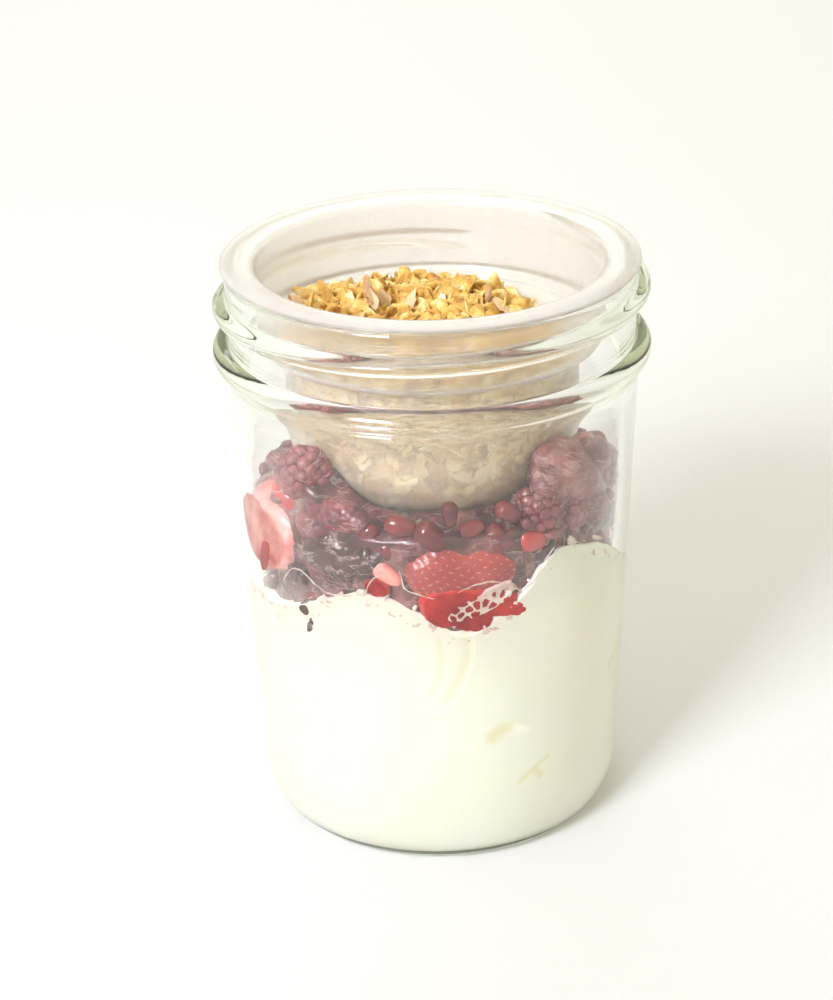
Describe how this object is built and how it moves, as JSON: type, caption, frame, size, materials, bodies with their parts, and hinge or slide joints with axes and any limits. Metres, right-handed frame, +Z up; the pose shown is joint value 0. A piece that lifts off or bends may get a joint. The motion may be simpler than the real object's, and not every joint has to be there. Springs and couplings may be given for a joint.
{
  "type": "yogurt parfait",
  "caption": "Layered breakfast to eat with a spoon: yogurt and mixed berries in an open glass preserving jar, with granola kept dry in a clear cup nested in its mouth.",
  "frame": {"origin": "centre of the jar's base, on the surface that it stands on", "axes": "+Z up through the jar's axis, -Y towards the front, where the yogurt dips lowest between two swells"},
  "size_m": [0.0886, 0.0886, 0.12],
  "materials": {
    "jar_glass": "clear, fire-polished, faintly green where it is thick",
    "cup_plastic": "translucent, slightly milky",
    "yogurt": "thick, smooth and moist, off-white",
    "berries": "wet, deep red to nearly black",
    "granola": "toasted, dry, golden"
  },
  "bodies": {
    "root": {"jar": "jar_glass", "yogurt": "yogurt", "berries": "berries", "granola_cup": "cup_plastic", "granola": "granola"}
  },
  "joints": []
}
